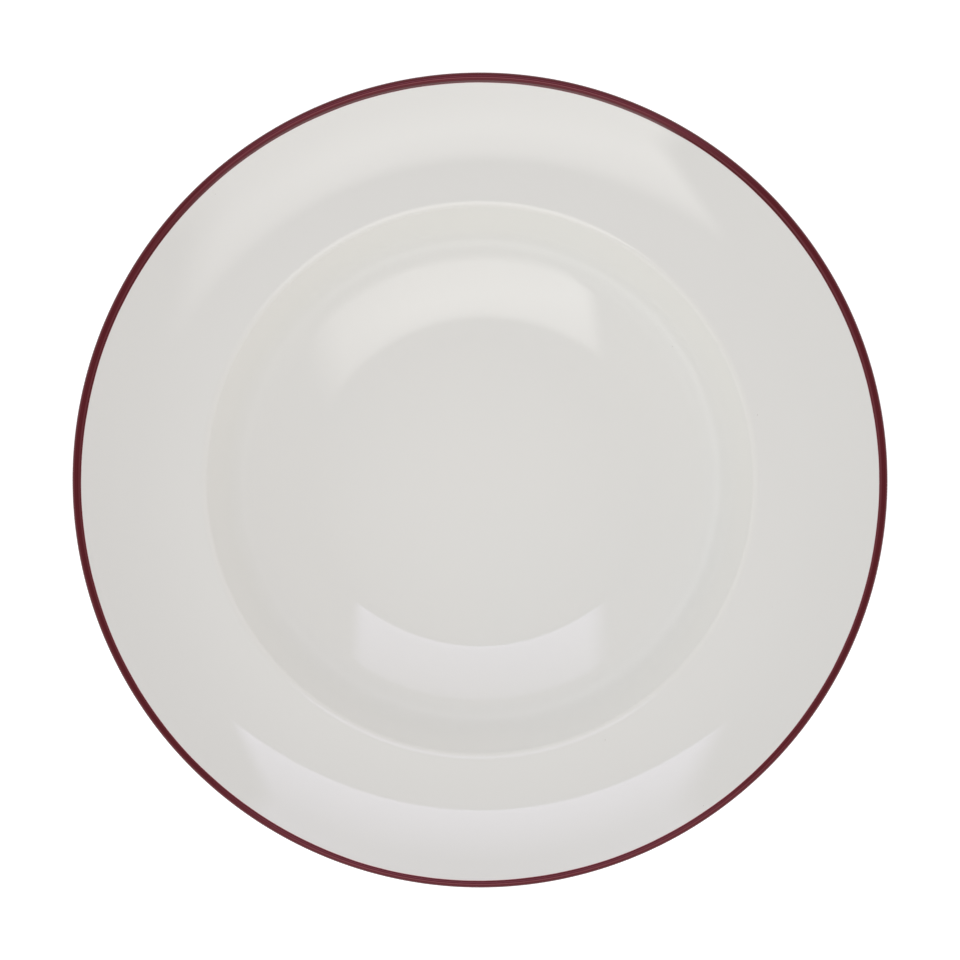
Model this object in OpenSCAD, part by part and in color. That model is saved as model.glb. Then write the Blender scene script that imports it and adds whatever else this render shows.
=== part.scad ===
// Rimmed soup plate, in millimetres, +Z up. The origin is the centre of the foot, on the table.
// One turned porcelain body carries four fused layers of glass: clear glaze on the face, on the
// back and inside the foot, and a band of maroon colour round the lip. The foot itself is bare.

/* [Plate] */
// Diameter over the lip
plate_d = 225; // [206:1:260]
// Thickness of the glaze and of the band, square to the clay
glaze_t = 0.3; // [0.2:0.05:0.5]

/* [Well] */
// Diameter at which the level floor turns up
floor_d = 89.6; // [74:0.2:104]
// Diameter at which the steep wall starts, at its heel
heel_d = 134.4; // [124:0.2:142]
// Height of the heel above the floor
heel_rise = 6.05; // [4:0.05:8]
// Diameter of the shoulder, at the top of the wall
well_d = 151.8; // [146:0.2:164]
// Height of the shoulder above the floor
well_depth = 20.4; // [15:0.1:28]
// Radius of the bend from the floor into the slope
floor_round = 42; // [20:1:80]
// Radius of the bend half-way up the slope
slope_round = 120; // [40:5:200]
// Radius of the bend from the slope into the wall
heel_round = 17; // [8:0.2:20]
// Radius of the bend at the top of the wall
shoulder_round = 1.8; // [1.2:0.1:4]
// Width of the brow, the softer half of the shoulder that runs out onto the rim
brow_w = 1.35; // [1:0.05:3]
// Rise of the brow
brow_rise = 0.5; // [0.3:0.05:1.2]
// Radius of the bend from the brow onto the rim
brow_round = 4.5; // [2:0.5:10]

/* [Rim] */
// Rise of the rim from the brow to the lip's bead
rim_rise = 7.3; // [5:0.1:9]
// Radius of the rim's slow upward curve
rim_round = 82; // [50:1:120]

/* [Lip] */
// Radius of the full round along the lip
lip_round = 1.15; // [0.9:0.05:1.6]
// Slope at which the face climbs the lip's bead, in degrees
bead_slope = 38; // [30:1:46]
// Radius of the hollow at the foot of the bead
bead_blend = 0.9; // [0.5:0.1:1.5]
// Width of the maroon band on the face, seen from above
band_w = 2.25; // [2.1:0.05:4]

/* [Walls] */
// Thickness at the centre of the floor
floor_t = 4.6; // [4:0.1:6.5]
// Thickness of the wall at its heel
heel_t = 4.9; // [4:0.1:6.5]
// Thickness of the wall at the shoulder
shoulder_t = 4.3; // [3.4:0.1:5.5]
// Thickness of the rim at half its width
rim_t = 3.6; // [2.8:0.1:4.5]
// Radius of the bend behind the shoulder
shoulder_back_round = 9; // [5:0.5:14]

/* [Foot] */
// Outer diameter of the foot, at the table
foot_d = 112; // [104:1:118]
// Width of the bare ring that stands on the table
foot_w = 2.6; // [2:0.1:4]
// Height of the hollow inside the foot, at its edge
foot_h = 2.6; // [2:0.1:4]
// Further rise of that hollow towards its centre
recess_dome = 0.4; // [0.1:0.1:0.9]
// Lean of the foot's two sides from upright, in degrees
foot_draft = 16; // [8:1:24]
// Radius of the bends where the foot grows out of the back
foot_root_round = 2.6; // [1.5:0.1:4]
// Radius of the two ground edges of the bare ring
foot_edge_round = 0.45; // [0.2:0.05:0.8]
// Height above the table at which the glaze stops
bare_h = 0.9; // [0.7:0.1:1.4]

/* [Hidden] */
// Where the slope bends on its way from the floor to the heel, as shares of its width and rise
slope_bend_shares = [0.464, 0.376];
// Where the rim bends, as shares of its width and rise
rim_bend_shares = [0.445, 0.04];
// Where the hollow under the floor levels out, as a share of its radius
recess_level_share = 0.55;
// Most that a straight facet may stray from the true arc
arc_error = 0.005;
// Facets of a full turn in a preview
turn_facets = 180;

clay_white = [0.90, 0.88, 0.84];
glaze_white = [0.85, 0.85, 0.83];
maroon = [0.34, 0.09, 0.12];

// The section is drawn in the half plane [radius, height]. Its outline runs from the axis along
// the face, round the lip and home along the back, so that the air is always on its left.

// Unit vector in a given direction
function heading(a) = [cos(a), sin(a)];

// Direction of travel from one point to another
function travel(p, q) = atan2(q.y - p.y, q.x - p.x);

// Turn from one direction to another, leftward positive
function turn(a, b) = let (d = b - a) d > 180 ? d - 360 : d < -180 ? d + 360 : d;

// Where the line through p in direction a meets the line through q in direction b
function meet(p, a, q, b) =
    let (gap = q - p, across = heading(b + 90))
    p + heading(a) * (gap * across) / (heading(a) * across);

// A point at a depth behind a corner of the face, square to both of the walls that meet there
function behind(before, at, after, depth) =
    let (a = travel(before, at), half = turn(a, travel(at, after)) / 2)
    at - heading(a + half + 90) * depth / cos(half);

// Samples [point, direction] of an arc that turns from direction a by t degrees
function arc(centre, radius, a, t) =
    let (
        side = sign(t),
        steps = max(2, ceil(abs(t) / (2 * acos(1 - arc_error / radius))))
    )
    [for (i = [0 : steps])
        let (d = a + t * i / steps) [centre - side * radius * heading(d + 90), d]];

// Samples of a path whose corners are [point, radius]. Two bends that would overlap shrink alike.
function rounded(corners) =
    let (
        last = len(corners) - 1,
        legs = [for (i = [1 : last]) corners[i][0] - corners[i - 1][0]],
        ways = [for (i = [1 : last]) travel(corners[i - 1][0], corners[i][0])],
        turns = [for (i = [1 : last - 1]) turn(ways[i - 1], ways[i])],
        reaches = [0, for (i = [1 : last - 1]) corners[i][1] * tan(abs(turns[i - 1]) / 2), 0],
        fits = [for (i = [1 : last]) min(1, norm(legs[i - 1]) / (reaches[i - 1] + reaches[i] + arc_error))]
    )
    [
        [corners[0][0], ways[0]],
        for (i = [1 : last - 1])
            let (
                t = turns[i - 1],
                fit = min(fits[i - 1], fits[i]),
                radius = corners[i][1] * fit,
                start = corners[i][0] - heading(ways[i - 1]) * reaches[i] * fit
            )
            each arc(start + sign(t) * radius * heading(ways[i - 1] + 90), radius, ways[i - 1], t),
        [corners[last][0], ways[last - 1]]
    ];

// The glazed surface along a run of samples, and the clay under it
function glazed(run) = [for (s = run) s[0]];
function clay(run) = [for (s = run) s[0] - glaze_t * heading(s[1] + 90)];
function reversed(points) = [for (i = [len(points) - 1 : -1 : 0]) points[i]];

// Corners of the face, from the axis out to the foot of the lip's bead
floor_z = foot_h + recess_dome + floor_t;
face_centre = [0, floor_z];
floor_bend = [floor_d / 2, floor_z];
heel = [heel_d / 2, floor_z + heel_rise];
slope_bend = [
    floor_bend.x + slope_bend_shares[0] * (heel.x - floor_bend.x),
    floor_z + slope_bend_shares[1] * heel_rise
];
shoulder = [well_d / 2, floor_z + well_depth];
brow = shoulder + [brow_w, brow_rise];
bead_w = lip_round * (1 + sin(bead_slope)) + bead_blend * tan(bead_slope / 2);
bead_foot = [plate_d / 2 - bead_w, brow.y + rim_rise];
rim_bend = [
    brow.x + rim_bend_shares[0] * (bead_foot.x - brow.x),
    brow.y + rim_bend_shares[1] * rim_rise
];
rim_slope = travel(rim_bend, bead_foot);
band_edge_r = plate_d / 2 - band_w;
band_edge = [band_edge_r, bead_foot.y - (bead_foot.x - band_edge_r) * tan(rim_slope)];

// The lip's round, which the bead's climb and the back of the rim both touch
lip_r = plate_d / 2 - lip_round;
lip_centre = [lip_r, bead_foot.y + (lip_r - bead_foot.x) * tan(bead_slope) - lip_round / cos(bead_slope)];
lip_start = lip_centre + lip_round * heading(bead_slope + 90);

// Corners of the back, each a named wall thickness behind a corner of the face
rim_back = behind(brow, rim_bend, bead_foot, rim_t);
shoulder_back = behind(heel, shoulder, rim_bend, shoulder_t);
heel_back = behind(slope_bend, heel, shoulder, heel_t);
slope_back = behind(floor_bend, slope_bend, heel, heel_t);
lip_end_way = travel(lip_centre, rim_back) - asin(lip_round / norm(rim_back - lip_centre));
lip_end = lip_centre + lip_round * heading(lip_end_way + 90);

// The foot's outline lies one glaze thickness outside its bare clay, as the rest does
side_shift = glaze_t / cos(foot_draft);
bare_rise = bare_h + glaze_t;
outer_way = 270 - foot_draft;
inner_way = 90 - foot_draft;
outer_ground = [foot_d / 2 + side_shift - glaze_t * tan(foot_draft), -glaze_t];
inner_ground = [foot_d / 2 - foot_w - side_shift + glaze_t * tan(foot_draft), -glaze_t];
outer_stop = outer_ground + [tan(foot_draft), 1] * bare_rise;
inner_stop = inner_ground + [-tan(foot_draft), 1] * bare_rise;

// The foot grows out of the slope's back, or out of the wall's back where it stands wider than the heel
slope_root = meet(heel_back, travel(heel_back, slope_back), outer_ground, outer_way);
wall_root = meet(shoulder_back, travel(shoulder_back, heel_back), outer_ground, outer_way);
foot_under_wall = slope_root.x > heel_back.x;
outer_root = foot_under_wall ? wall_root : slope_root;
heel_bends = foot_under_wall ? [] : [[heel_back, heel_round + heel_t]];
inner_root = [inner_ground.x - (foot_h + glaze_t) * tan(foot_draft), foot_h];
recess_level = [inner_root.x * recess_level_share, foot_h + recess_dome];
recess_centre = [0, recess_level.y];

// The five runs of the outline. Each starts where the one before it ends.
face_run = rounded([
    [face_centre, 0],
    [floor_bend, floor_round],
    [slope_bend, slope_round],
    [heel, heel_round],
    [shoulder, shoulder_round],
    [brow, brow_round],
    [rim_bend, rim_round],
    [band_edge, 0]
]);
band_run = concat(
    rounded([[band_edge, 0], [bead_foot, bead_blend], [lip_start, 0]]),
    arc(lip_centre, lip_round, bead_slope, turn(bead_slope, -90)),
    arc(lip_centre, lip_round, -90, turn(-90, lip_end_way))
);
back_run = rounded([
    [lip_end, 0],
    [rim_back, rim_round],
    [shoulder_back, shoulder_back_round],
    each heel_bends,
    [outer_root, foot_root_round],
    [outer_stop, 0]
]);
foot_run = rounded([
    [outer_stop, 0],
    [outer_ground, foot_edge_round + glaze_t],
    [inner_ground, foot_edge_round + glaze_t],
    [inner_stop, 0]
]);
recess_run = rounded([
    [inner_stop, 0],
    [inner_root, foot_root_round],
    [recess_level, rim_round],
    [recess_centre, 0]
]);

// A closed section turned about the axis
module turned(points) {
    rotate_extrude($fn = turn_facets)
        polygon(points);
}

// A layer of glass on the clay along one run
module glass_layer(run) {
    turned(concat(glazed(run), reversed(clay(run))));
}

module porcelain_body() {
    color(clay_white)
        turned(concat(clay(face_run), clay(band_run), clay(back_run), clay(foot_run), clay(recess_run)));
}

module face_glaze() {
    color(glaze_white)
        glass_layer(face_run);
}

module rim_band() {
    color(maroon)
        glass_layer(band_run);
}

module back_glaze() {
    color(glaze_white)
        glass_layer(back_run);
}

module recess_glaze() {
    color(glaze_white)
        glass_layer(recess_run);
}

porcelain_body();
face_glaze();
rim_band();
back_glaze();
recess_glaze();
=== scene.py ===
# %% [markdown]
# # A rimmed soup plate
#
# The object is a deep plate of glazed white porcelain with a maroon line round its lip. Clay of one
# piece carries everything. What differs from place to place is the glass on it: clear on the face,
# clear on the back, clear inside the foot, coloured at the lip, and none where the foot stands.
#
# The lesson loads the plate's solids first. They fix the size and the place of every layer, in
# metres, with the foot's centre at the origin and +Z up. Nothing below moves or rescales them.

# %% Load the solids
import cmath
import math

import bpy
from mathutils import Matrix, Vector


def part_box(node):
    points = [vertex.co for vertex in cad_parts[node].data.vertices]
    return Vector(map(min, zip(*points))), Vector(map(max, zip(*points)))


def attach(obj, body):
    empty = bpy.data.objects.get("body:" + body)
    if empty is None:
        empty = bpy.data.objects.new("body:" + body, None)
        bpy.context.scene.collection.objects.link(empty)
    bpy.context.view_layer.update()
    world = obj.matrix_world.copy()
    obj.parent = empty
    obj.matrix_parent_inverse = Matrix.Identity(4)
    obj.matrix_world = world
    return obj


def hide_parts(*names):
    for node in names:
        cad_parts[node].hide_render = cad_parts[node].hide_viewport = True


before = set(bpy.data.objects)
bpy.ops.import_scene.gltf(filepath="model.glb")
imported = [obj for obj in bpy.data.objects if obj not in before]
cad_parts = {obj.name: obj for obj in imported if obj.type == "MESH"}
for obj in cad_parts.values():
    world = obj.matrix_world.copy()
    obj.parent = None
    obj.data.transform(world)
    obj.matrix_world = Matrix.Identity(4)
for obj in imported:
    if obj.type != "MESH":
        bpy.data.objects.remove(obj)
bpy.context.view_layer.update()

# %% [markdown]
# ## The camera
#
# The photograph looks straight down from far off, so the lip is a true circle and the wall of the
# well shows its face all the way round. The lens is worked out from how wide the lip lies in the
# picture. The camera comes first because everything else is judged through it.

# %% Stand the camera over the plate
PHOTO_PX = 960
LIP_DIAMETER_PX = 816.0
SENSOR = 0.036
MM = 0.001

camera_distance = 1.35
lip_low, lip_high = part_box("rim_band")
lip_diameter = lip_high.x - lip_low.x
lip_height = lip_high.z
view_width = lip_diameter * PHOTO_PX / LIP_DIAMETER_PX

camera_data = bpy.data.cameras.new("overhead_camera")
camera_data.sensor_width = SENSOR / MM
camera_data.lens = SENSOR / MM * camera_distance / view_width
camera = bpy.data.objects.new("overhead_camera", camera_data)
bpy.context.scene.collection.objects.link(camera)
camera.location = (0, 0, lip_height + camera_distance)
bpy.context.scene.camera = camera
print(f"lens {camera_data.lens:.0f} mm, {view_width / PHOTO_PX / MM:.4f} mm to a pixel at the lip")

# %% [markdown]
# ## The plate's section
#
# A plate is turned: a template with the shape of half a section is held against clay that spins. So
# the whole form is one outline in the half plane of radius and height. Here a point of that outline
# is a complex number, its real part the radius and its imaginary part the height, because a turn is
# then a product.
#
# The corners are where a potter would set out the template: the end of the level floor, the heel of
# the wall, the shoulder, the middle of the rim and the foot of the bead at the lip. Each corner is
# bent with its own radius.

# %% Set out the corners of the face
plate_r = lip_diameter / 2
glaze_t = 0.3 * MM
floor_z = 7.6 * MM

floor_r, floor_round = 44.8 * MM, 42 * MM
SLOPE_BEND_SHARES, slope_round = (0.464, 0.376), 120 * MM
heel_r, heel_rise, heel_round = 67.2 * MM, 6.05 * MM, 17 * MM
well_r, well_depth, shoulder_round = 75.9 * MM, 20.4 * MM, 1.8 * MM
brow_w, brow_rise, brow_round = 1.35 * MM, 0.5 * MM, 4.5 * MM
rim_rise, rim_round = 7.3 * MM, 82 * MM
RIM_BEND_SHARES = (0.445, 0.04)
lip_round, bead_slope, bead_blend = 1.15 * MM, math.radians(38), 0.9 * MM
band_w = 2.25 * MM


def travel(start, end):
    """Unit step from one point of the section towards another."""
    return (end - start) / abs(end - start)


def turn(way, next_way):
    """Angle from one direction to the next, leftward positive."""
    return cmath.phase(next_way / way)


bead_w = lip_round * (1 + math.sin(bead_slope)) + bead_blend * math.tan(bead_slope / 2)
face_centre = complex(0, floor_z)
floor_bend = complex(floor_r, floor_z)
heel = complex(heel_r, floor_z + heel_rise)
slope_r = floor_r + SLOPE_BEND_SHARES[0] * (heel_r - floor_r)
slope_bend = complex(slope_r, floor_z + SLOPE_BEND_SHARES[1] * heel_rise)
shoulder = complex(well_r, floor_z + well_depth)
brow = shoulder + complex(brow_w, brow_rise)
bead_foot = complex(plate_r - bead_w, brow.imag + rim_rise)
rim_bend = complex(
    brow.real + RIM_BEND_SHARES[0] * (bead_foot.real - brow.real),
    brow.imag + RIM_BEND_SHARES[1] * rim_rise,
)
rim_way = travel(rim_bend, bead_foot)
band_r = plate_r - band_w
band_edge = bead_foot - rim_way * (bead_foot.real - band_r) / rim_way.real
print(f"rim slope at the lip {math.degrees(cmath.phase(rim_way)):.1f} degrees")

# %% [markdown]
# The lip ends in a full round that the face and the back both touch. The back follows the face at
# the wall's thickness, which is set where it matters: at the floor, the heel, the shoulder and
# half-way out on the rim.

# %% Set out the lip, the back and the foot
heel_t, shoulder_t, rim_t = 4.9 * MM, 4.3 * MM, 3.6 * MM
shoulder_back_round = 9 * MM
foot_r, foot_w, foot_h, recess_dome = 56 * MM, 2.6 * MM, 2.6 * MM, 0.4 * MM
foot_draft = math.radians(16)
foot_root_round, foot_edge_round = 2.6 * MM, 0.45 * MM
bare_h = 0.9 * MM
RECESS_LEVEL_SHARE = 0.55


def behind(before, corner, after, depth):
    """The point at a depth behind a corner of the face, square to both walls that meet there."""
    way = travel(before, corner)
    half = turn(way, travel(corner, after)) / 2
    return corner - way * cmath.rect(depth / math.cos(half), half + math.pi / 2)


def meet(start, way, other, other_way):
    """Where two lines of the section cross."""
    across = other_way * 1j
    reach = ((other - start) * across.conjugate()).real / (way * across.conjugate()).real
    return start + way * reach


lip_r = plate_r - lip_round
lip_drop = lip_round / math.cos(bead_slope)
lip_z = bead_foot.imag + (lip_r - bead_foot.real) * math.tan(bead_slope) - lip_drop
lip_centre = complex(lip_r, lip_z)
bead_way = cmath.rect(1, bead_slope)
lip_start = lip_centre + lip_round * bead_way * 1j

rim_back = behind(brow, rim_bend, bead_foot, rim_t)
shoulder_back = behind(heel, shoulder, rim_bend, shoulder_t)
heel_back = behind(slope_bend, heel, shoulder, heel_t)
slope_back = behind(floor_bend, slope_bend, heel, heel_t)
lip_end_turn = -math.asin(lip_round / abs(rim_back - lip_centre))
lip_end_way = travel(lip_centre, rim_back) * cmath.rect(1, lip_end_turn)
lip_end = lip_centre + lip_round * lip_end_way * 1j

lean = math.tan(foot_draft)
side_shift = glaze_t / math.cos(foot_draft)
outer_ground = complex(foot_r + side_shift - glaze_t * lean, -glaze_t)
inner_ground = complex(foot_r - foot_w - side_shift + glaze_t * lean, -glaze_t)
outer_stop = outer_ground + complex(lean, 1) * (bare_h + glaze_t)
inner_stop = inner_ground + complex(-lean, 1) * (bare_h + glaze_t)
outer_root = meet(
    heel_back, travel(heel_back, slope_back), outer_ground, travel(outer_stop, outer_ground)
)
inner_root = complex(inner_ground.real - (foot_h + glaze_t) * lean, foot_h)
recess_level = complex(inner_root.real * RECESS_LEVEL_SHARE, foot_h + recess_dome)
recess_centre = complex(0, recess_level.imag)

# %% [markdown]
# Now the corners are rounded. Each bend is an arc that touches both of its straight neighbours. A
# glossy glaze shows every facet in its reflections, so the arcs are sampled far more finely here
# than in the solids, and the straight stretches get points too. Each sample keeps its direction of
# travel: the clay lies one glaze thickness to its right.

# %% Learn to round corners
ARC_ERROR = 0.001 * MM
LONGEST_STEP = 1.2 * MM
LEAST_STRAIGHT = 0.005 * MM


def arc(centre, radius, way, angle):
    """Samples (point, direction) of an arc that starts in direction way and turns by angle."""
    side = math.copysign(1, angle)
    steps = max(2, math.ceil(abs(angle) / (2 * math.acos(1 - ARC_ERROR / radius))))
    ways = [way * cmath.rect(1, angle * i / steps) for i in range(steps + 1)]
    return [(centre - side * radius * w * 1j, w) for w in ways]


def straight(start, end):
    """Samples of a straight stretch, both ends included."""
    steps = max(1, math.ceil(abs(end - start) / LONGEST_STEP))
    return [(start + (end - start) * i / steps, travel(start, end)) for i in range(steps + 1)]


def rounded(corners):
    """Samples of a path of corners (point, radius). Two bends that would overlap shrink alike."""
    points = [p for p, _ in corners]
    legs = [b - a for a, b in zip(points, points[1:])]
    ways = [leg / abs(leg) for leg in legs]
    turns = [turn(a, b) for a, b in zip(ways, ways[1:])]
    reaches = [0] + [r * math.tan(abs(t) / 2) for (_, r), t in zip(corners[1:], turns)] + [0]
    fits = [
        min(1, abs(leg) / (before + after + LEAST_STRAIGHT))
        for leg, before, after in zip(legs, reaches, reaches[1:])
    ]
    samples, last = [], points[0]
    for i, angle in enumerate(turns):
        fit = min(fits[i], fits[i + 1])
        radius = corners[i + 1][1] * fit
        begin = points[i + 1] - ways[i] * reaches[i + 1] * fit
        samples += straight(last, begin)
        bend = arc(begin + math.copysign(radius, angle) * ways[i] * 1j, radius, ways[i], angle)
        samples += bend[1:]
        last = bend[-1][0]
    return samples + straight(last, points[-1])[1:]


# %% [markdown]
# The section is walked once: from the middle of the face out to the lip, over it, down the back,
# round the foot and into the hollow. The walk is cut into runs where the glass changes.

# %% Walk round the section
face_run = rounded([
    (face_centre, 0),
    (floor_bend, floor_round),
    (slope_bend, slope_round),
    (heel, heel_round),
    (shoulder, shoulder_round),
    (brow, brow_round),
    (rim_bend, rim_round),
    (band_edge, 0),
])
band_run = rounded([(band_edge, 0), (bead_foot, bead_blend), (lip_start, 0)])
band_run += arc(lip_centre, lip_round, bead_way, turn(bead_way, -1j))[1:]
band_run += arc(lip_centre, lip_round, -1j, turn(-1j, lip_end_way))[1:]
back_run = rounded([
    (lip_end, 0),
    (rim_back, rim_round),
    (shoulder_back, shoulder_back_round),
    (heel_back, heel_round + heel_t),
    (outer_root, foot_root_round),
    (outer_stop, 0),
])
foot_run = rounded([
    (outer_stop, 0),
    (outer_ground, foot_edge_round + glaze_t),
    (inner_ground, foot_edge_round + glaze_t),
    (inner_stop, 0),
])
recess_run = rounded([
    (inner_stop, 0),
    (inner_root, foot_root_round),
    (recess_level, rim_round),
    (recess_centre, 0),
])
runs = {
    "face": face_run,
    "band": band_run,
    "back": back_run,
    "foot": foot_run,
    "recess": recess_run,
}
print("samples:", {name: len(run) for name, run in runs.items()})

# %% [markdown]
# ## Glass on clay
#
# Every layer of glass is a thin closed section: its surface on the way out, the clay on the way
# home. Where the glaze was wiped off the foot it doesn't end in a square step. It draws back in the
# kiln into a small round edge, so its thickness falls to almost nothing there along a quarter of an
# ellipse.
#
# The side of the glass that lies on the clay is never seen, nor is the clay under it, so both take
# fewer points.

# %% Close the sections
MELT_LENGTH = 0.7 * MM
MELT_EDGE_SHARE = 0.08
HIDDEN_STEP = 5


def surface(run):
    return [p for p, _ in run]


def clay(run):
    return [p - glaze_t * w * 1j for p, w in run]


def hidden(run):
    """The clay of a run that glass covers, with only some of its samples."""
    return clay(run)[:-1:HIDDEN_STEP] + clay(run)[-1:]


def melted(run, from_end):
    """The glaze's surface, thinned to a round edge at the end where it was wiped off."""
    points = []
    stop = run[-1][0] if from_end else run[0][0]
    for p, w in run:
        gap = min(abs(p - stop) / MELT_LENGTH, 1)
        share = MELT_EDGE_SHARE + (1 - MELT_EDGE_SHARE) * math.sqrt(1 - (1 - gap) ** 2)
        points.append(p - glaze_t * (1 - share) * w * 1j)
    return points


body = []
for run in runs.values():
    body += clay(run) if run is foot_run else hidden(run)
back_surface = melted(back_run, True)
sections = {
    "turned_clay": body,
    "clear_face": surface(face_run) + hidden(face_run)[::-1],
    "maroon_line": surface(band_run) + hidden(band_run)[::-1] + surface(band_run)[:1],
    "clear_back": back_surface + hidden(back_run)[::-1] + back_surface[:1],
    "clear_recess": hidden(recess_run)[::-1] + melted(recess_run, False),
}
print("points in each section:", {name: len(points) for name, points in sections.items()})

# %% [markdown]
# ## Node trees
#
# The lathe and all the materials are trees of nodes. A small class makes a node, sets it up and
# links its inputs in one line, so a tree reads in the order in which its values flow.

# %% Make a node in one line
class Tree:
    """A node tree under construction. node() makes one node, and returns it."""

    def __init__(self, tree):
        self.tree = tree

    def node(self, kind, settings=None, inputs=None):
        made = self.tree.nodes.new(kind)
        for name, value in (settings or {}).items():
            if name == "stops":
                self.set_stops(made.color_ramp, value)
            else:
                setattr(made, name, value)
        for key, value in (inputs or {}).items():
            self.feed(made.inputs[key], value)
        return made

    def feed(self, socket, value):
        """Links an output, or a field that wraps one, to a socket, or sets the socket's value."""
        value = getattr(value, "socket", value)
        if isinstance(value, bpy.types.NodeSocket):
            self.tree.links.new(value, socket)
        else:
            socket.default_value = value

    @staticmethod
    def set_stops(ramp, stops):
        while len(ramp.elements) < len(stops):
            ramp.elements.new(1)
        for element, (position, colour) in zip(ramp.elements, stops):
            element.position = position
            element.color = colour


# %% [markdown]
# ## The lathe
#
# The lathe is a Geometry Nodes tree. It lays out a grid whose rows are the points of the section
# and whose columns go round the axis, and moves every grid point to its place: the section's point
# of its row, turned by the angle of its column. The first and the last column meet, and at the axis
# a whole row is one point, so a weld closes both. Edges that turn sharply stay crisp, and the rest
# is shaded smooth.

# %% Build the lathe
def build_lathe():
    group = bpy.data.node_groups.new("Lathe", "GeometryNodeTree")
    face = group.interface
    face.new_socket("Section", in_out="INPUT", socket_type="NodeSocketGeometry")
    face.new_socket("Facets round", in_out="INPUT", socket_type="NodeSocketInt")
    face.new_socket("Weld distance", in_out="INPUT", socket_type="NodeSocketFloat")
    face.new_socket("Crisp angle", in_out="INPUT", socket_type="NodeSocketFloat")
    face.new_socket("Finish", in_out="INPUT", socket_type="NodeSocketMaterial")
    face.new_socket("Turned piece", in_out="OUTPUT", socket_type="NodeSocketGeometry")
    tree = Tree(group)
    given = tree.node("NodeGroupInput").outputs

    def maths(operation, *values):
        made = tree.node("ShaderNodeMath", {"operation": operation}, dict(enumerate(values)))
        return made.outputs[0]

    points = tree.node(
        "GeometryNodeAttributeDomainSize", {"component": "MESH"}, {"Geometry": given["Section"]}
    ).outputs["Point Count"]
    columns = maths("ADD", given["Facets round"], 1.0)
    grid = tree.node("GeometryNodeMeshGrid", inputs={"Vertices X": columns, "Vertices Y": points})
    index = tree.node("GeometryNodeInputIndex").outputs[0]
    column = maths("FLOOR", maths("DIVIDE", maths("ADD", index, 0.5), points))
    row = maths("SUBTRACT", index, maths("MULTIPLY", column, points))
    place = tree.node(
        "GeometryNodeSampleIndex",
        {"data_type": "FLOAT_VECTOR", "domain": "POINT"},
        {
            "Geometry": given["Section"],
            "Value": tree.node("GeometryNodeInputPosition").outputs[0],
            "Index": row,
        },
    ).outputs["Value"]
    angle = maths("MULTIPLY", maths("DIVIDE", column, given["Facets round"]), math.tau)
    turned = tree.node(
        "ShaderNodeVectorRotate", {"rotation_type": "Z_AXIS"}, {"Vector": place, "Angle": angle}
    ).outputs[0]
    moved = tree.node(
        "GeometryNodeSetPosition", inputs={"Geometry": grid.outputs["Mesh"], "Position": turned}
    ).outputs[0]
    welded = tree.node(
        "GeometryNodeMergeByDistance",
        inputs={"Geometry": moved, "Distance": given["Weld distance"]},
    ).outputs[0]
    smooth = tree.node(
        "GeometryNodeSetShadeSmooth", {"domain": "FACE"}, {"Geometry": welded}
    ).outputs[0]
    edge_angle = tree.node("GeometryNodeInputMeshEdgeAngle").outputs["Unsigned Angle"]
    crisp = tree.node(
        "GeometryNodeSetShadeSmooth",
        {"domain": "EDGE"},
        {
            "Geometry": smooth,
            "Selection": maths("GREATER_THAN", edge_angle, given["Crisp angle"]),
            "Shade Smooth": False,
        },
    ).outputs[0]
    real = tree.node("GeometryNodeRealizeInstances", inputs={"Geometry": crisp}).outputs[0]
    finished = tree.node(
        "GeometryNodeSetMaterial", inputs={"Geometry": real, "Material": given["Finish"]}
    ).outputs[0]
    tree.node("NodeGroupOutput", inputs={"Turned piece": finished})
    return group


lathe = build_lathe()
print("lathe:", len(lathe.nodes), "nodes")

# %% [markdown]
# ## Shader maths
#
# The finishes below are formulas of place: how far a point lies from the axis, how high it is,
# which way round. Such a formula reads best as plain arithmetic, so a field wraps an output of a
# node, and every sum or product of fields adds the Math node that works it out.

# %% Write node maths as arithmetic
class Field:
    """A number that varies over a surface, with Python's arithmetic on it."""

    def __init__(self, finish, socket):
        self.finish = finish
        self.socket = socket

    def maths(self, operation, *others, swapped=False):
        values = (*others, self) if swapped else (self, *others)
        made = self.finish.node("ShaderNodeMath", {"operation": operation}, dict(enumerate(values)))
        return Field(self.finish, made.outputs[0])

    def __add__(self, other):
        return self.maths("ADD", other)

    def __radd__(self, other):
        return self.maths("ADD", other)

    def __sub__(self, other):
        return self.maths("SUBTRACT", other)

    def __rsub__(self, other):
        return self.maths("SUBTRACT", other, swapped=True)

    def __mul__(self, other):
        return self.maths("MULTIPLY", other)

    def __truediv__(self, other):
        return self.maths("DIVIDE", other)

    def __pow__(self, other):
        return self.maths("POWER", other)

    def absolute(self):
        return self.maths("ABSOLUTE")

    def clamped(self):
        made = self.maths("ADD", 0.0)
        made.socket.node.use_clamp = True
        return made

    def step(self, start, end):
        """0 before start and 1 after end, with a smooth rise between. start may be the larger."""
        made = self.finish.node(
            "ShaderNodeMapRange",
            {"interpolation_type": "SMOOTHSTEP"},
            {"Value": self, "From Min": start, "From Max": end},
        )
        return Field(self.finish, made.outputs["Result"])


# %% [markdown]
# A finish starts from the place on the surface, in metres, and ends in one Principled shader with a
# fine relief on it. Between the two stand noises, masks and mixes of colour, which all the finishes
# share.

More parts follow.
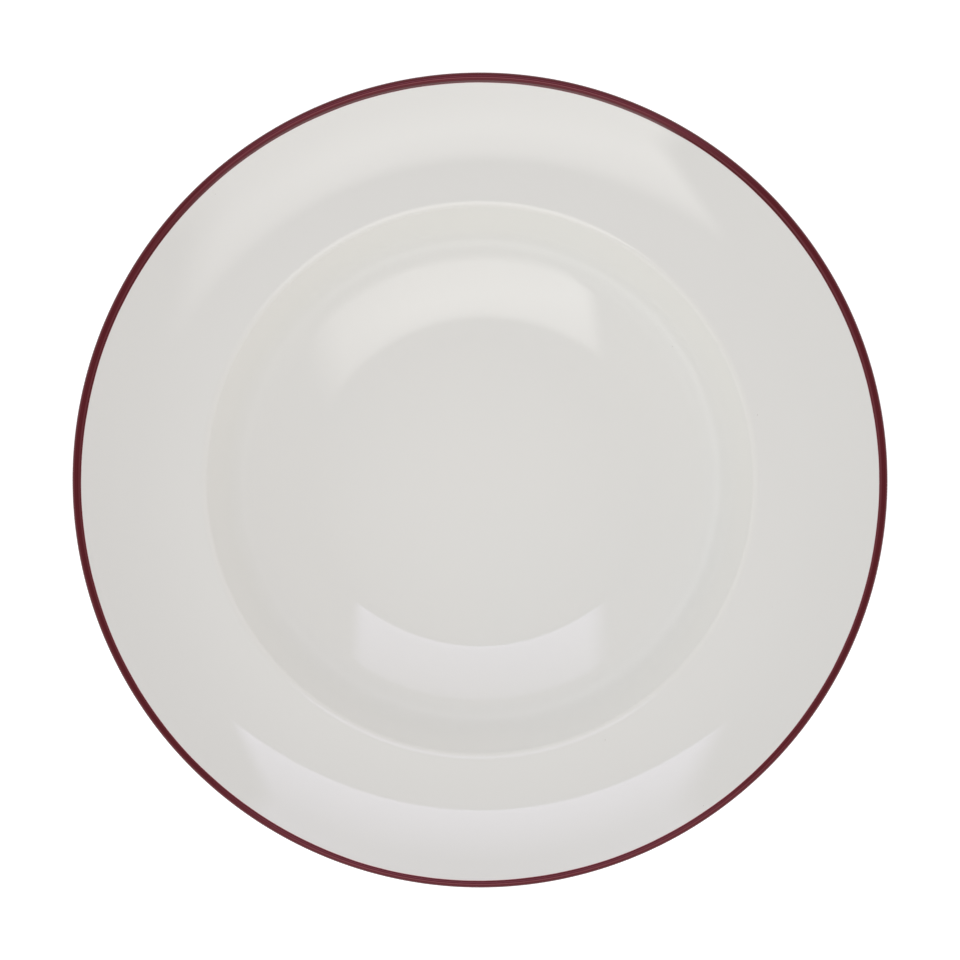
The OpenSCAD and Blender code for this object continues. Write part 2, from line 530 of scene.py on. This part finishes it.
# %% Give the finishes their helpers
class ShaderTree(Tree):
    """The nodes of a material, or of the world, with the helpers that the finishes share."""

    def __init__(self, owner, coordinates="Object"):
        owner.use_nodes = True
        super().__init__(owner.node_tree)
        self.owner = owner
        self.tree.nodes.clear()
        self.place = self.node("ShaderNodeTexCoord").outputs[coordinates]
        axes = self.node("ShaderNodeSeparateXYZ", inputs={0: self.place}).outputs
        self.x, self.y, self.z = (Field(self, axis) for axis in axes)

    def radius(self, centre=(0.0, 0.0)):
        """Distance from an upright axis through centre."""
        x, y = self.x - centre[0], self.y - centre[1]
        return (x * x + y * y) ** 0.5

    def vector(self, x, y, z):
        return self.node("ShaderNodeCombineXYZ", inputs={0: x, 1: y, 2: z}).outputs[0]

    def round_about(self, turns, across):
        """Place for a pattern round the axis. turns is its pace round, across its pace outwards."""
        r = self.radius()
        return self.vector(self.x / r * turns, self.y / r * turns, r * across)

    def combed(self, along_x, along_y):
        """Place for a pattern of fine lines in one direction of the table's plane."""
        return self.vector(self.x * along_x, self.y * along_y, 0.0)

    def noise(self, scale, detail=2.0, roughness=0.5, vector=None):
        made = self.node(
            "ShaderNodeTexNoise",
            inputs={
                "Vector": vector or self.place,
                "Scale": scale,
                "Detail": detail,
                "Roughness": roughness,
            },
        )
        return Field(self, made.outputs["Fac"])

    def mix(self, factor, colour, other):
        """From colour at factor 0 to other at factor 1."""
        made = self.node("ShaderNodeMix", {"data_type": "RGBA"}, {0: factor, 6: colour, 7: other})
        return made.outputs[2]

    def shade(self, height, **inputs):
        """Ends the tree in a Principled shader. height is in metres, and _ stands for a space."""
        shader = self.node("ShaderNodeBsdfPrincipled")
        for name, value in inputs.items():
            self.feed(shader.inputs[name.replace("_", " ")], value)
        relief = self.node("ShaderNodeBump", inputs={"Height": height, "Distance": 1.0})
        self.feed(shader.inputs["Normal"], relief.outputs[0])
        self.node("ShaderNodeOutputMaterial", inputs={"Surface": shader.outputs[0]})
        return self.owner


# %% [markdown]
# ## The finishes
#
# Colours are judged where the plate reflects nothing bright: the level middle of the well for the
# porcelain, the outer flank of the lip for the line. A photograph can't tell a pale thing in a dim
# room from a darker one in a bright room, so the porcelain's tone and the light were settled
# together.
#
# All the finishes share a few habits of fired ware. Melted glass runs a little, so it is thicker
# and cooler in tone in the hollows and thinner and warmer on the crests. Its surface keeps a faint
# swell and a finer orange peel, both a few thousandths of a millimetre high or less, which only the
# edges of the reflections show. Here and there an iron speck or a pinhole comes through.

# %% Describe what all the glazes share
GLAZE_IOR = 1.5
porcelain_white = (0.860, 0.853, 0.816, 1)
pooled_glass = (0.849, 0.849, 0.819, 1)
thin_glass = (0.869, 0.858, 0.815, 1)
iron_speck = (0.20, 0.13, 0.08, 1)

SWELL_SCALE, SWELL_HEIGHT = 55, 5e-6
PEEL_SCALE, PEEL_HEIGHT = 700, 0.5e-6
SPECK_SCALE, SPECK_RADIUS, SPECK_SHARE = 260, 0.14 * MM, 0.05
SPECK_CORE, SPECK_FADE = 0.5, 0.9


def swell_and_peel(finish):
    """Height in metres of the melted glass above a true surface."""
    return finish.noise(SWELL_SCALE) * SWELL_HEIGHT + finish.noise(PEEL_SCALE) * PEEL_HEIGHT


def specks(finish, offset, radius):
    """1 inside sparse round specks, 0 elsewhere. offset moves the whole pattern.

    Each cell of space holds one speck, and only a small share of the cells show theirs.
    """
    moved = finish.node(
        "ShaderNodeVectorMath", {"operation": "ADD"}, {0: finish.place, 1: (offset, offset, 0)}
    ).outputs[0]
    cells = finish.node(
        "ShaderNodeTexVoronoi", inputs={"Vector": moved, "Scale": SPECK_SCALE}
    ).outputs
    distance = Field(finish, cells["Distance"]) / SPECK_SCALE
    channels = finish.node("ShaderNodeSeparateColor", inputs={0: cells["Color"]}).outputs
    shown = Field(finish, channels[0]).step(SPECK_SHARE, SPECK_SHARE * SPECK_FADE)
    return distance.step(radius, radius * SPECK_CORE) * shown


# %% [markdown]
# The line is drawn with a loaded brush while the plate turns on a wheel, and by hand, so its inner
# edge is a circle a little off the plate's own axis, with a slow tremble. The face glaze and the
# line meet at a fixed circle, but the colour doesn't, so both materials take the same mask of where
# colour lies.
#
# Thin ceramic colour is a filter, not a cover: light crosses it twice. Its tone at any thickness is
# therefore the porcelain's tone times a power of the full coat's, which turns rosy where the brush
# left little.

# %% Describe the colour line
maroon_coat = (0.074, 0.0016, 0.0040)
LINE_EDGE_R = 110.10 * MM
LINE_CENTRE = (0.02 * MM, -0.42 * MM)
LINE_SOFT = 0.22 * MM
TREMBLE, TREMBLE_TURNS = 0.34 * MM, 2.2
SHIVER, SHIVER_TURNS = 0.10 * MM, 14
LINE_BACK_SOFT, BACK_SHIVERS = 0.18 * MM, 2
STREAK_TURNS, STREAK_PACE, STREAK_SHARE = 5, 4200, 0.26
DRIFT_TURNS, DRIFT_SHARE = 6, 0.14
OVERLAP_ANGLE, OVERLAP_REACH = math.radians(-82), math.radians(7)
OVERLAP_FADE, OVERLAP_SHARE = 0.93, 0.12
THINNEST_COAT = 0.80
COAT_STEPS = 8


def line_coat(finish):
    """Thickness of the colour, from 0 where there is none to 1 for one full coat."""
    tremble = (finish.noise(1, vector=finish.round_about(TREMBLE_TURNS, 0)) - 0.5) * TREMBLE
    shiver = (finish.noise(1, vector=finish.round_about(SHIVER_TURNS, 0)) - 0.5) * SHIVER
    inside = finish.radius(LINE_CENTRE) + tremble + shiver
    face_side = inside.step(LINE_EDGE_R - LINE_SOFT / 2, LINE_EDGE_R + LINE_SOFT / 2)
    under = finish.z + shiver * BACK_SHIVERS
    back_side = under.step(lip_end.imag - LINE_BACK_SOFT, lip_end.imag + LINE_BACK_SOFT)
    return face_side * back_side


def brushed(finish, coat):
    """The coat with the brush's streaks, and the overlap where the stroke met its own start."""
    streaks = finish.noise(1, detail=3, vector=finish.round_about(STREAK_TURNS, STREAK_PACE))
    drift = finish.noise(1, vector=finish.round_about(DRIFT_TURNS, 0))
    across = finish.x * math.sin(OVERLAP_ANGLE) - finish.y * math.cos(OVERLAP_ANGLE)
    along = finish.x * math.cos(OVERLAP_ANGLE) + finish.y * math.sin(OVERLAP_ANGLE)
    reach = plate_r * OVERLAP_REACH
    overlap = across.absolute().step(reach, reach * OVERLAP_FADE) * along.step(0, plate_r)
    load = THINNEST_COAT + streaks * STREAK_SHARE + drift * DRIFT_SHARE
    return coat * (load + overlap * OVERLAP_SHARE)


def coat_colour(finish, coat):
    """Tone of the porcelain seen through the coat."""
    stops = []
    for i in range(COAT_STEPS + 1):
        share = i / COAT_STEPS
        tones = zip(porcelain_white, maroon_coat)
        stops.append((share, (*(white * (full / white) ** share for white, full in tones), 1)))
    return finish.node("ShaderNodeValToRGB", {"stops": stops}, {0: coat.clamped()}).outputs[0]


# %% [markdown]
# The rim is painted a shade greyer than the well, most towards the lip. This grey is painted shade:
# it stands in for the light that leaves the rim a little darker than the floor of the well. The
# middle of the well has been eaten from, and hair-fine scratches dull it a touch.

# %% Paint shade on the rim and scratch the well
# The grey of the painted shade on the rim and the lip.
rim_shade_grey = (0.804, 0.797, 0.765, 1)
RIM_SHADE_SHARE, RIM_SHADE_BREAK, LIP_SHADE_REACH = 0.7, 3 * MM, 24 * MM
SCRATCH_ALONG, SCRATCH_ACROSS, SCRATCH_ROUGHNESS = 60, 2400, 0.05
SCRATCH_BAND, SCRATCH_FADE = (0.28, 0.42), 0.6


def rim_shade_share(r):
    """Share of painted shade on the rim: none in the well, most at the lip."""
    rim_shade = r.step(well_r - RIM_SHADE_BREAK / 2, well_r + RIM_SHADE_BREAK / 2) * RIM_SHADE_SHARE
    return rim_shade + r.step(plate_r - LIP_SHADE_REACH, plate_r) * (1 - RIM_SHADE_SHARE)


def scratch_haze(finish, r, haze_r):
    """Hair-fine scratches both ways, inside haze_r."""
    one_way = finish.noise(
        1, detail=6, roughness=0.7, vector=finish.combed(SCRATCH_ACROSS, SCRATCH_ALONG)
    )
    other_way = finish.noise(
        1, detail=6, roughness=0.7, vector=finish.combed(SCRATCH_ALONG, SCRATCH_ACROSS)
    )
    return (one_way * other_way).step(*SCRATCH_BAND) * r.step(haze_r, haze_r * SCRATCH_FADE)


# %% [markdown]
# Clear glaze over white porcelain is white clay under a thin sheet of glass: a soft, even white
# with sharp reflections on top. On the back the rings of the trimming tool show faintly through the
# glass.

# %% Mix the clear glazes
PATCH_SCALE, PATCH_THICK_SHARE, PATCH_THIN_SHARE = 18, 0.55, 0.4
PATCH_THICK_BAND, PATCH_THIN_BAND = (0.45, 0.8), (0.45, 0.2)
# The second of these is how much the rim's painted shade hides the thinner glass on the crests.
POOL_SHARE, RIM_SHADE_HIDES = 0.4, 0.8
IRON_SHARE, PINHOLE_DEPTH, PINHOLE_SIZE, PINHOLE_OFFSET = 0.55, 12e-6, 0.8, 0.05
LINE_START, LINE_RELIEF = 0.02, 14e-6
SHEEN_SCALE, GLAZE_ROUGHNESS, GLAZE_ROUGHNESS_SPREAD = 90, 0.02, 0.03
RING_TURNS, RING_PACE = 1.5, 900


def clear_glaze(name, hollows, crests, haze_r=0.0, ring_height=0.0):
    """hollows and crests are (radius, half width) of the rings where the glass is thick or thin."""
    finish = ShaderTree(bpy.data.materials.new(name))
    r = finish.radius()
    rim_shade = rim_shade_share(r)
    patches = finish.noise(PATCH_SCALE, detail=3)
    thick = patches.step(*PATCH_THICK_BAND) * PATCH_THICK_SHARE
    for ring, reach in hollows:
        thick = thick + (r - ring).absolute().step(reach, 0) * POOL_SHARE
    thin = patches.step(*PATCH_THIN_BAND) * PATCH_THIN_SHARE
    for ring, reach in crests:
        thin = thin + (r - ring).absolute().step(reach, 0)
    # Painted shade: the rim is greyed, most towards the lip, and its pooling and thinning are
    # muted.
    colour = finish.mix(rim_shade, porcelain_white, rim_shade_grey)
    colour = finish.mix(thick.clamped() * (1 - rim_shade), colour, pooled_glass)
    colour = finish.mix(thin.clamped() * (1 - rim_shade * RIM_SHADE_HIDES), colour, thin_glass)
    iron = specks(finish, 0.0, SPECK_RADIUS)
    colour = finish.mix(iron * IRON_SHARE, colour, iron_speck)
    coat = line_coat(finish)
    line = coat_colour(finish, brushed(finish, coat))
    colour = finish.mix(coat.step(0, LINE_START), colour, line)
    roughness = GLAZE_ROUGHNESS + finish.noise(SHEEN_SCALE, detail=4) * GLAZE_ROUGHNESS_SPREAD
    height = swell_and_peel(finish) + coat * LINE_RELIEF
    if haze_r:
        roughness = roughness + scratch_haze(finish, r, haze_r) * SCRATCH_ROUGHNESS
    if ring_height:
        rings = finish.noise(1, detail=2, vector=finish.round_about(RING_TURNS, RING_PACE))
        height = height + rings * ring_height
    pinholes = specks(finish, PINHOLE_OFFSET, SPECK_RADIUS * PINHOLE_SIZE)
    return finish.shade(
        height=height - pinholes * PINHOLE_DEPTH,
        Base_Color=colour,
        Roughness=roughness,
        IOR=GLAZE_IOR,
    )


face_glaze = clear_glaze(
    "clear_face_glaze",
    hollows=[(heel_r, 7 * MM), (bead_foot.real - 1.2 * MM, 1.6 * MM)],
    crests=[(well_r + brow_w / 2, 1.4 * MM)],
    haze_r=slope_r,
)
back_glaze = clear_glaze(
    "clear_back_glaze",
    hollows=[(outer_root.real, 3 * MM)],
    crests=[(foot_r + 1.2 * MM, 1 * MM), (heel_r + heel_t, 4 * MM)],
    ring_height=5e-6,
)
recess_glaze = clear_glaze(
    "clear_recess_glaze",
    hollows=[(inner_root.real, 3 * MM)],
    crests=[],
    ring_height=7e-6,
)

# %% [markdown]
# The lip's own material is the same coat on the same porcelain. It covers nearly all of the piece.
# The red comes from fine grains of iron oxide, and those that lie in the skin of the glass tint its
# reflections too, so the thin glint on the crown of the lip is rosy rather than white.

# %% Mix the maroon line
LINE_GLOSS = 0.84
LINE_SHEEN_SCALE, LINE_ROUGHNESS, LINE_ROUGHNESS_SPREAD = 600, 0.04, 0.05
STROKE_RELIEF = 8e-6
red_sheen = (1.0, 0.42, 0.50, 1)


def maroon_line(name):
    finish = ShaderTree(bpy.data.materials.new(name))
    strokes = brushed(finish, line_coat(finish))
    sheen = finish.noise(LINE_SHEEN_SCALE, detail=3)
    return finish.shade(
        height=swell_and_peel(finish) + strokes * STROKE_RELIEF,
        Base_Color=coat_colour(finish, strokes),
        Roughness=LINE_ROUGHNESS + sheen * LINE_ROUGHNESS_SPREAD,
        IOR=GLAZE_IOR,
        Specular_IOR_Level=LINE_GLOSS,
        Specular_Tint=red_sheen,
    )


line_colour = maroon_line("maroon_line_colour")

# %% [markdown]
# Under the foot the clay is bare. It is matt, gritty and a little warmer than under glass, and it
# keeps the rings of the grinding wheel that levelled it. Standing and being pushed about has greyed
# the flat that touches the table, and the last of the glaze has drawn iron out of the clay into a
# faint tan edge.

# %% Mix the bare clay
dry_porcelain = (0.66, 0.635, 0.585, 1)
table_grey = (0.40, 0.385, 0.36, 1)
tan_edge = (0.56, 0.45, 0.33, 1)
GRIT_SCALE, GRIT_SHARE, GRIT_HEIGHT = 3200, 0.25, 18e-6
GRINDING_TURNS, GRINDING_PACE, GRINDING_HEIGHT = 9, 5200, 14e-6
WEAR_SCALE, WEAR_SHARE, WEAR_HEIGHT = 140, 0.65, 0.12 * MM
WEAR_BY_PATCHES, WEAR_BY_RINGS = 0.7, 0.5
FLASH_WIDTH, FLASH_SHARE = 0.35 * MM, 0.7
GRIT_BAND, WEAR_BAND, FLASH_BAND = (0.35, 0.75), (0.35, 0.8), (0.25, 0.6)
CLAY_ROUGHNESS, WORN_SMOOTHER = 0.82, 0.2


def bare_clay(name):
    finish = ShaderTree(bpy.data.materials.new(name))
    grit = finish.noise(GRIT_SCALE, detail=4, roughness=0.7)
    grinding = finish.noise(1, detail=3, vector=finish.round_about(GRINDING_TURNS, GRINDING_PACE))
    patches = finish.noise(WEAR_SCALE, detail=4, roughness=0.65)
    standing = finish.z.step(WEAR_HEIGHT, 0.0)
    wear = patches * WEAR_BY_PATCHES + grinding * WEAR_BY_RINGS
    worn = standing * wear.step(*WEAR_BAND)
    flash = finish.z.step(bare_h - FLASH_WIDTH, bare_h) * patches.step(*FLASH_BAND)
    colour = finish.mix(grit.step(*GRIT_BAND) * GRIT_SHARE, dry_porcelain, table_grey)
    colour = finish.mix(flash * FLASH_SHARE, colour, tan_edge)
    colour = finish.mix(worn * WEAR_SHARE, colour, table_grey)
    return finish.shade(
        height=grit * GRIT_HEIGHT + grinding * standing * GRINDING_HEIGHT,
        Base_Color=colour,
        Roughness=CLAY_ROUGHNESS - worn * WORN_SMOOTHER,
        IOR=GLAZE_IOR,
    )


clay_body = bare_clay("bare_ground_clay")

# %% [markdown]
# ## Turning the pieces
#
# Each section goes through the lathe once. The result is copied into a plain mesh, which then
# stands for the solid of the same layer.

# %% Turn every layer
FACETS_ROUND = 480
WELD = 0.0005 * MM
CRISP_ANGLE = math.radians(35)


def turn_piece(name, points, material):
    """The section's points, turned about the axis, as a plain mesh object."""
    outline = bpy.data.meshes.new(name + "_section")
    places = [(p.real, 0, p.imag) for p in points]
    edges = [(i, i + 1) for i in range(len(points) - 1)]
    outline.from_pydata(places, edges, [])
    blank = bpy.data.objects.new(name + "_section", outline)
    bpy.context.scene.collection.objects.link(blank)
    modifier = blank.modifiers.new("Lathe", "NODES")
    modifier.node_group = lathe
    settings = {
        "Facets round": FACETS_ROUND,
        "Weld distance": WELD,
        "Crisp angle": CRISP_ANGLE,
        "Finish": material,
    }
    for item in lathe.interface.items_tree:
        if item.name in settings:
            modifier[item.identifier] = settings[item.name]
    evaluated = blank.evaluated_get(bpy.context.evaluated_depsgraph_get())
    mesh = bpy.data.meshes.new_from_object(evaluated)
    mesh.name = name
    bpy.data.objects.remove(blank)
    piece = bpy.data.objects.new(name, mesh)
    bpy.context.scene.collection.objects.link(piece)
    return piece


layers = {
    "turned_clay": ("porcelain_body", "bare_porcelain", clay_body),
    "clear_face": ("face_glaze", "face_glaze", face_glaze),
    "maroon_line": ("rim_band", "maroon_band", line_colour),
    "clear_back": ("back_glaze", "back_glaze", back_glaze),
    "clear_recess": ("recess_glaze", "recess_glaze", recess_glaze),
}
for name, (node, slot, material) in layers.items():
    piece = turn_piece(name, sections[name], material)
    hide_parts(node)
    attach(piece, "root")
    print(f"{name}: {len(piece.data.vertices)} points, {len(piece.data.polygons)} faces")

# %% [markdown]
# ## The studio
#
# The plate lies on a white sweep, in a pale room, with one large soft lamp beyond its back and one
# before its front.
#
# The sweep has to look white, but a floor as bright as that would light the plate too much. So it
# glows a little, and only for what looks at it, which is the camera and the reflections. The light
# that it throws back is that of plain matt grey paint, and the plate's shadow still shows on it.

# %% Lay the floor
FLOOR_HALF = 4.0
FLOOR_GREY, FLOOR_GLOW = (0.8, 0.8, 0.8, 1), 0.62

square = ((-1, -1), (1, -1), (1, 1), (-1, 1))
floor_corners = [(x * FLOOR_HALF, y * FLOOR_HALF, 0) for x, y in square]
floor_mesh = bpy.data.meshes.new("floor")
floor_mesh.from_pydata(floor_corners, [], [(0, 1, 2, 3)])
floor = bpy.data.objects.new("floor", floor_mesh)
bpy.context.scene.collection.objects.link(floor)

floor_paint = ShaderTree(bpy.data.materials.new("white_floor"))
rays = floor_paint.node("ShaderNodeLightPath").outputs
seen = Field(floor_paint, rays["Is Camera Ray"]) + Field(floor_paint, rays["Is Glossy Ray"])
seen = seen + Field(floor_paint, rays["Is Transmission Ray"])
matt = floor_paint.node("ShaderNodeBsdfDiffuse", inputs={"Color": FLOOR_GREY})
glow = floor_paint.node("ShaderNodeEmission", inputs={"Strength": seen.clamped() * FLOOR_GLOW})
both = floor_paint.node("ShaderNodeAddShader", inputs={0: matt.outputs[0], 1: glow.outputs[0]})
floor_paint.node("ShaderNodeOutputMaterial", inputs={"Surface": both.outputs[0]})
floor_mesh.materials.append(floor_paint.owner)
print(f"floor {2 * FLOOR_HALF:.0f} m wide")

# %% [markdown]
# The room is bright low down, where white walls and the lit sweep stand round the table, and dimmer
# overhead, where the camera hangs. That low light is what keeps the steep wall of the well nearly
# as pale as its floor, and its brightest band is the faint ring that runs round the heel of the
# wall. Both sides of the room are dimmer than its front and back, and its right is the dimmer and
# warmer of the two.

# %% Light the room
ROOM_LEVEL = 1.717
ROOM_STOPS = [
    (0, 0.12), (5, 0.31), (9, 0.53), (14, 0.74), (20, 0.70), (26, 0.50), (33, 0.38), (41, 0.46),
    (50, 0.33), (58, 0.27), (66, 0.23), (70, 0.22), (78, 0.28), (84, 0.32), (90, 0.36),
]
LEFT_GAIN, FRONT_GAIN, SIDE_LOSS = 0.085, 0.045, 0.13
plain_side = (1.0, 1.0, 0.985, 1)
warm_side = (1.0, 0.965, 0.94, 1)

world = bpy.data.worlds.new("studio_room")
bpy.context.scene.world = world


def grey_stops(stops):
    """Stops of a colour ramp that holds plain brightness."""
    return [(position, (share, share, share, 1)) for position, share in stops]


room = ShaderTree(world, "Generated")
room_stops = grey_stops((math.sin(math.radians(rise)), share) for rise, share in ROOM_STOPS)
room_ramp = room.node("ShaderNodeValToRGB", {"stops": room_stops}, {0: room.z})
by_height = Field(room, room_ramp.outputs[0])
by_side = 1 - room.x * LEFT_GAIN - room.y * FRONT_GAIN - room.x.absolute() * SIDE_LOSS
room_level = by_height * by_side * ROOM_LEVEL
room_colour = room.mix(room.x.clamped(), plain_side, warm_side)
light = room.node("ShaderNodeBackground", inputs={"Color": room_colour, "Strength": room_level})
room.node("ShaderNodeOutputWorld", inputs={"Surface": light.outputs[0]})
print(f"room: brightest {max(share for _, share in ROOM_STOPS) * ROOM_LEVEL:.2f}")

# %% [markdown]
# The two lamps are large screens. The back one is bluish, has a crisp upper edge and fades
# downwards. The front one is warmer, stands a little to one side and turned, and has soft edges. A
# lamp's power follows from how bright its screen should look: a matt screen gives off pi times its
# brightness from every square metre.

# %% Hang the lamps
def soft_lamp(name, top, bottom, width, aside, turned, level, colour, stops, side_stops):
    """A lit screen that faces the plate. Its edges run through top and bottom, both (y, z).

    aside moves it along X, and turned swings it about its own upright. stops give its brightness
    from the lower edge, at 0, to the upper, at 1, and side_stops from its one side to the other.
    """
    lamp_data = bpy.data.lights.new(name, "AREA")
    lamp_data.shape = "RECTANGLE"
    upper, lower = Vector((0, *top)), Vector((0, *bottom))
    height = (upper - lower).length
    lamp_data.size, lamp_data.size_y = width, height
    lamp_data.energy = level * math.pi * width * height
    lamp_data.color = colour
    lamp_data.use_nodes = True
    lamp_data.node_tree.nodes.clear()
    screen = Tree(lamp_data.node_tree)
    place = screen.node("ShaderNodeNewGeometry").outputs["Parametric"]
    across, up = screen.node("ShaderNodeSeparateXYZ", inputs={0: place}).outputs[:2]
    shares = {}
    for i, (way, way_stops) in enumerate(((up, stops), (across, side_stops))):
        ramp = screen.node("ShaderNodeValToRGB", {"stops": grey_stops(way_stops)}, {0: way})
        shares[i] = ramp.outputs[0]
    strength = screen.node("ShaderNodeMath", {"operation": "MULTIPLY"}, shares).outputs[0]
    light = screen.node("ShaderNodeEmission", inputs={"Strength": strength}).outputs[0]
    screen.node("ShaderNodeOutputLight", inputs={"Surface": light})
    lamp = bpy.data.objects.new(name, lamp_data)
    bpy.context.scene.collection.objects.link(lamp)
    rise = (upper - lower).normalized()
    behind_screen = rise.cross(Vector((1, 0, 0)))
    if behind_screen.z < 0:
        behind_screen = -behind_screen
    axes = Matrix((rise.cross(behind_screen), rise, behind_screen)).transposed()
    lamp.rotation_euler = (Matrix.Rotation(turned, 3, "Z") @ axes).to_euler()
    lamp.location = (upper + lower) / 2 + Vector((aside, 0, 0))
    lamp.visible_camera = False
    return lamp


back_lamp = soft_lamp(
    "back_lamp",
    top=(0.385, 1.51),
    bottom=(0.655, 0.90),
    width=0.82,
    aside=0.0,
    turned=0.0,
    level=2.75,
    colour=(0.78, 0.75, 1.0),
    stops=[(0.0, 0.0), (0.2, 0.32), (0.42, 0.53), (0.7, 0.75), (0.9, 0.87), (1.0, 1.0)],
    side_stops=[(0.0, 0.0), (0.06, 1.0), (0.9, 1.0), (1.0, 0.0)],
)
front_lamp = soft_lamp(
    "front_lamp",
    top=(-0.27, 1.64),
    bottom=(-0.738, 0.728),
    width=0.96,
    aside=0.08,
    turned=math.radians(13),
    level=2.32,
    colour=(1.0, 0.985, 0.96),
    stops=[
        (0.0, 0.0), (0.16, 0.36), (0.3, 0.76), (0.54, 1.0), (0.67, 0.87), (0.82, 0.68), (1.0, 0.0),
    ],
    side_stops=[(0.0, 0.0), (0.07, 1.0), (0.6, 1.0), (0.85, 0.7), (1.0, 0.0)],
)
for lamp in (back_lamp, front_lamp):
    print(f"{lamp.name}: {lamp.data.energy:.1f} W, {lamp.data.size:.2f} x {lamp.data.size_y:.2f} m")

# %% [markdown]
# ## The view transform
#
# The view transform is Standard, so that a colour shows as it is written.

# %% Finish
bpy.context.scene.view_settings.view_transform = "Standard"
